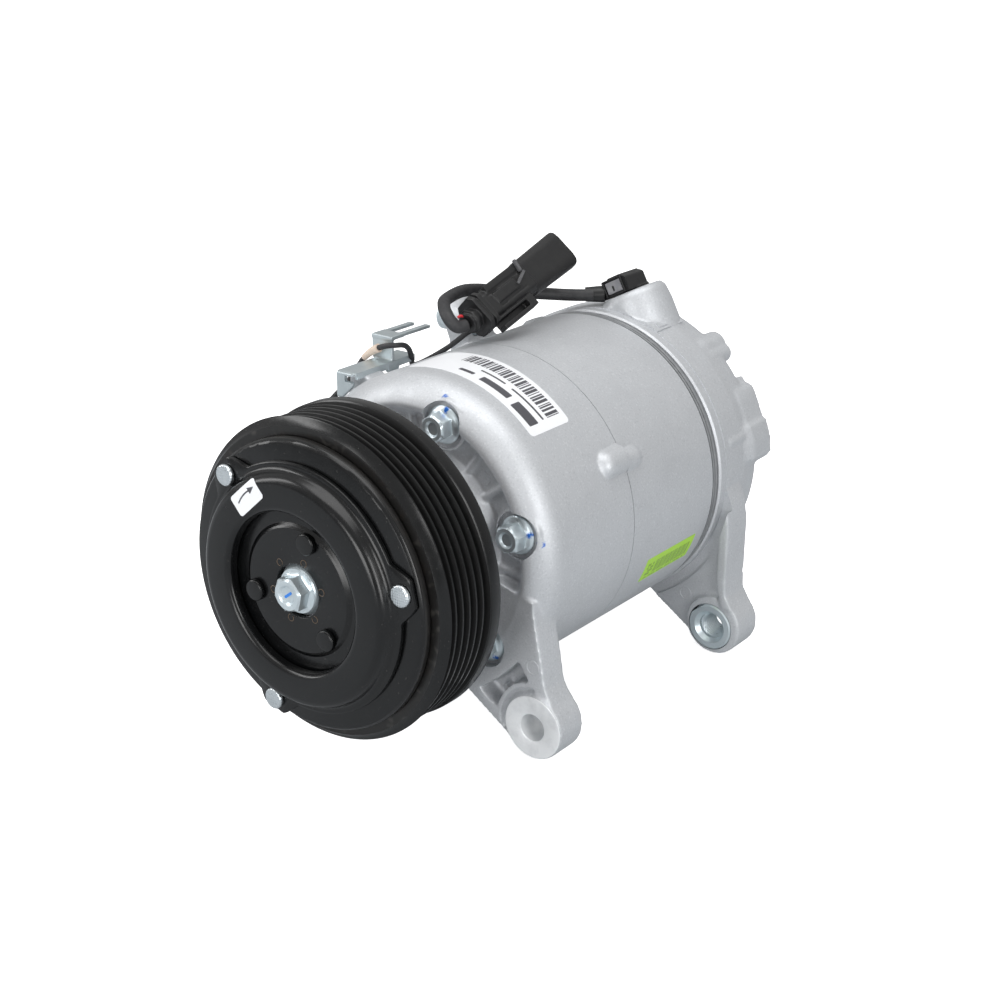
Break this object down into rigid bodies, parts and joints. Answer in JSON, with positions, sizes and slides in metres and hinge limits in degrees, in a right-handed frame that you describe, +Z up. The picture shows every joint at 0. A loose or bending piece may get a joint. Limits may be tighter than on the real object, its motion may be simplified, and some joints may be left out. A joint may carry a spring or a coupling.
{
  "type": "automotive air-conditioning compressor",
  "caption": "Belt-driven swash-plate air-conditioning compressor with magnetic clutch, mounting legs, an upper ear, rear control valve and wiring harness.",
  "frame": {"origin": "where the shaft axis meets the flat back of the rear head", "axes": "+Y along the shaft from the clutch to the rear head, +Z up, +X to the side of the mounting legs"},
  "size_m": [0.1313, 0.219, 0.1655],
  "materials": {
    "cast_aluminium": "die-cast, bead-blasted satin",
    "bright_steel": "ground bright",
    "piston_aluminium": "turned, coated skirt",
    "zinc_plate": "blue-white zinc plate",
    "black_paint": "satin black electrocoat",
    "coil_black": "epoxy-filled steel ring",
    "bronze": "bronze-coated running face",
    "rubber": "matt",
    "black_plastic": "moulded, fine grain"
  },
  "bodies": {
    "casing": {"front_housing": "cast_aluminium", "cylinder_block": "cast_aluminium", "rear_head": "cast_aluminium", "valve_plate": "bright_steel", "threaded_insert": "zinc_plate", "ear_bush": "zinc_plate", "through_bolt_1": "zinc_plate", "through_bolt_2": "zinc_plate", "through_bolt_3": "zinc_plate", "through_bolt_4": "zinc_plate", "through_bolt_5": "zinc_plate", "through_bolt_6": "zinc_plate", "field_coil": "coil_black", "shaft_seal": "rubber", "front_bearing": "bright_steel", "rear_bearing": "bright_steel", "thrust_bearing": "bright_steel", "bearing_inner_race": "bright_steel", "control_valve": "black_plastic", "harness_cable": "rubber", "main_connector": "black_plastic", "coil_lead": "rubber", "wire_bracket": "zinc_plate"},
    "pulley": {"pulley": "black_paint", "bearing_outer_race": "bright_steel"},
    "ball_cage": {"ball_cage": "bright_steel"},
    "shaft": {"drive_shaft": "bright_steel", "lug_plate": "bright_steel", "clutch_hub": "bright_steel", "damper_plate": "black_paint", "damper_ring": "rubber", "inner_rivet_1": "black_paint", "inner_rivet_2": "black_paint", "inner_rivet_3": "black_paint", "centre_bolt": "zinc_plate"},
    "armature": {"armature_plate": "black_paint", "drive_dish": "black_paint", "outer_rivet_1": "zinc_plate", "outer_rivet_2": "zinc_plate", "outer_rivet_3": "zinc_plate"},
    "swash_plate": {"swash_plate": "bronze"},
    "swash_hub": {"swash_hub": "bright_steel"},
    "piston_1": {"piston_1": "piston_aluminium"},
    "shoes_1": {"shoe_front_1": "bright_steel", "shoe_rear_1": "bright_steel"},
    "piston_2": {"piston_2": "piston_aluminium"},
    "shoes_2": {"shoe_front_2": "bright_steel", "shoe_rear_2": "bright_steel"},
    "piston_3": {"piston_3": "piston_aluminium"},
    "shoes_3": {"shoe_front_3": "bright_steel", "shoe_rear_3": "bright_steel"},
    "piston_4": {"piston_4": "piston_aluminium"},
    "shoes_4": {"shoe_front_4": "bright_steel", "shoe_rear_4": "bright_steel"},
    "piston_5": {"piston_5": "piston_aluminium"},
    "shoes_5": {"shoe_front_5": "bright_steel", "shoe_rear_5": "bright_steel"},
    "piston_6": {"piston_6": "piston_aluminium"},
    "shoes_6": {"shoe_front_6": "bright_steel", "shoe_rear_6": "bright_steel"}
  },
  "joints": [
    {"name": "pulley_spin", "type": "hinge", "parent": "casing", "child": "pulley", "pos_m": [0, -0.1836, 0], "axis": [0, 1, 0], "continuous": true},
    {"name": "ball_cage_spin", "type": "hinge", "parent": "casing", "child": "ball_cage", "pos_m": [0, -0.1824, 0], "axis": [0, 1, 0], "continuous": true},
    {"name": "shaft_spin", "type": "hinge", "parent": "casing", "child": "shaft", "pos_m": [0, -0.0936, 0], "axis": [0, 1, 0], "continuous": true},
    {"name": "armature_pull_in", "type": "slide", "parent": "shaft", "child": "armature", "axis": [0, 1, 0], "range_m": [0, 0.0004]},
    {"name": "swash_tilt", "type": "hinge", "parent": "casing", "child": "swash_plate", "pos_m": [0, -0.1076, 0], "axis": [1, 0, 0], "range_deg": [0, 18]},
    {"name": "swash_hub_spin", "type": "hinge", "parent": "swash_plate", "child": "swash_hub", "pos_m": [0, -0.1076, 0], "axis": [0, 1, 0], "continuous": true},
    {"name": "piston_1_slide", "type": "slide", "parent": "casing", "child": "piston_1", "axis": [0, 1, 0], "range_m": [-0.00834, 0.00005]},
    {"name": "shoes_1_tilt", "type": "hinge", "parent": "piston_1", "child": "shoes_1", "pos_m": [0.02662, -0.1076, 0.0257], "axis": [1, 0, 0], "range_deg": [-0.5, 18.5]},
    {"name": "piston_2_slide", "type": "slide", "parent": "casing", "child": "piston_2", "axis": [0, 1, 0], "range_m": [-0.01163, 0.00005]},
    {"name": "shoes_2_tilt", "type": "hinge", "parent": "piston_2", "child": "shoes_2", "pos_m": [-0.00895, -0.1076, 0.0359], "axis": [1, 0, 0], "range_deg": [-0.5, 18.5]},
    {"name": "piston_3_slide", "type": "slide", "parent": "casing", "child": "piston_3", "axis": [0, 1, 0], "range_m": [-0.00334, 0.00005]},
    {"name": "shoes_3_tilt", "type": "hinge", "parent": "piston_3", "child": "shoes_3", "pos_m": [-0.03557, -0.1076, 0.0102], "axis": [1, 0, 0], "range_deg": [-0.5, 18.5]},
    {"name": "piston_4_slide", "type": "slide", "parent": "casing", "child": "piston_4", "axis": [0, 1, 0], "range_m": [-0.00005, 0.00834]},
    {"name": "shoes_4_tilt", "type": "hinge", "parent": "piston_4", "child": "shoes_4", "pos_m": [-0.02662, -0.1076, -0.0257], "axis": [1, 0, 0], "range_deg": [-0.5, 18.5]},
    {"name": "piston_5_slide", "type": "slide", "parent": "casing", "child": "piston_5", "axis": [0, 1, 0], "range_m": [-0.00005, 0.01163]},
    {"name": "shoes_5_tilt", "type": "hinge", "parent": "piston_5", "child": "shoes_5", "pos_m": [0.00895, -0.1076, -0.0359], "axis": [1, 0, 0], "range_deg": [-0.5, 18.5]},
    {"name": "piston_6_slide", "type": "slide", "parent": "casing", "child": "piston_6", "axis": [0, 1, 0], "range_m": [-0.00005, 0.00334]},
    {"name": "shoes_6_tilt", "type": "hinge", "parent": "piston_6", "child": "shoes_6", "pos_m": [0.03557, -0.1076, -0.0102], "axis": [1, 0, 0], "range_deg": [-0.5, 18.5]}
  ],
  "couplings": [
    {"joint": "ball_cage_spin", "follows": "pulley_spin", "ratio": 0.5575},
    {"joint": "swash_hub_spin", "follows": "shaft_spin", "ratio": 1},
    {"joint": "piston_1_slide", "follows": "swash_tilt", "m_per_rad": -0.026397},
    {"joint": "shoes_1_tilt", "follows": "swash_tilt", "ratio": 1},
    {"joint": "piston_2_slide", "follows": "swash_tilt", "m_per_rad": -0.036871},
    {"joint": "shoes_2_tilt", "follows": "swash_tilt", "ratio": 1},
    {"joint": "piston_3_slide", "follows": "swash_tilt", "m_per_rad": -0.010474},
    {"joint": "shoes_3_tilt", "follows": "swash_tilt", "ratio": 1},
    {"joint": "piston_4_slide", "follows": "swash_tilt", "m_per_rad": 0.026397},
    {"joint": "shoes_4_tilt", "follows": "swash_tilt", "ratio": 1},
    {"joint": "piston_5_slide", "follows": "swash_tilt", "m_per_rad": 0.036871},
    {"joint": "shoes_5_tilt", "follows": "swash_tilt", "ratio": 1},
    {"joint": "piston_6_slide", "follows": "swash_tilt", "m_per_rad": 0.010474},
    {"joint": "shoes_6_tilt", "follows": "swash_tilt", "ratio": 1}
  ]
}
